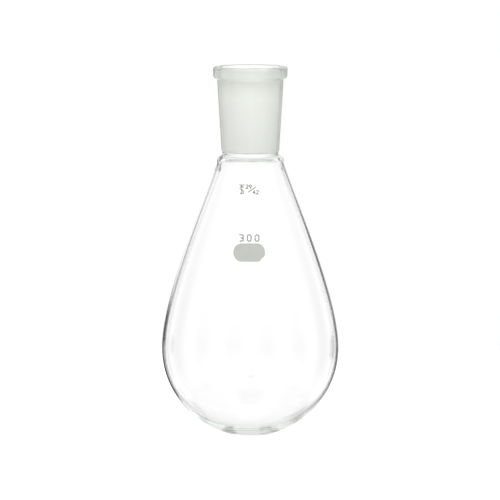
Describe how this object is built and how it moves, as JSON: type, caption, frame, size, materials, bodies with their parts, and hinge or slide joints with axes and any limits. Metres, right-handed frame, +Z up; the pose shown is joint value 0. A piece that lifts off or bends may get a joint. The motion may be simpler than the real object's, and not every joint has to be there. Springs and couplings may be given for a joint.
{
  "type": "pear-shaped evaporating flask",
  "caption": "Pear-shaped evaporating flask of clear glass with a ground conical socket, a beaded rim and a round bottom.",
  "frame": {"origin": "lowest point of the round bottom, on the axis", "axes": "+Z up along the axis, out of the mouth; the enamel marks face -Y"},
  "size_m": [0.087, 0.087, 0.1813],
  "materials": {
    "borosilicate_glass": "clear and fire-polished, with the conical bore ground to a fine white matt",
    "grey_enamel": "fired enamel, pale warm grey, matt"
  },
  "bodies": {
    "root": {"flask": "borosilicate_glass", "marking_spot": "grey_enamel", "volume_number": "grey_enamel", "joint_size_number": "grey_enamel"}
  },
  "joints": []
}
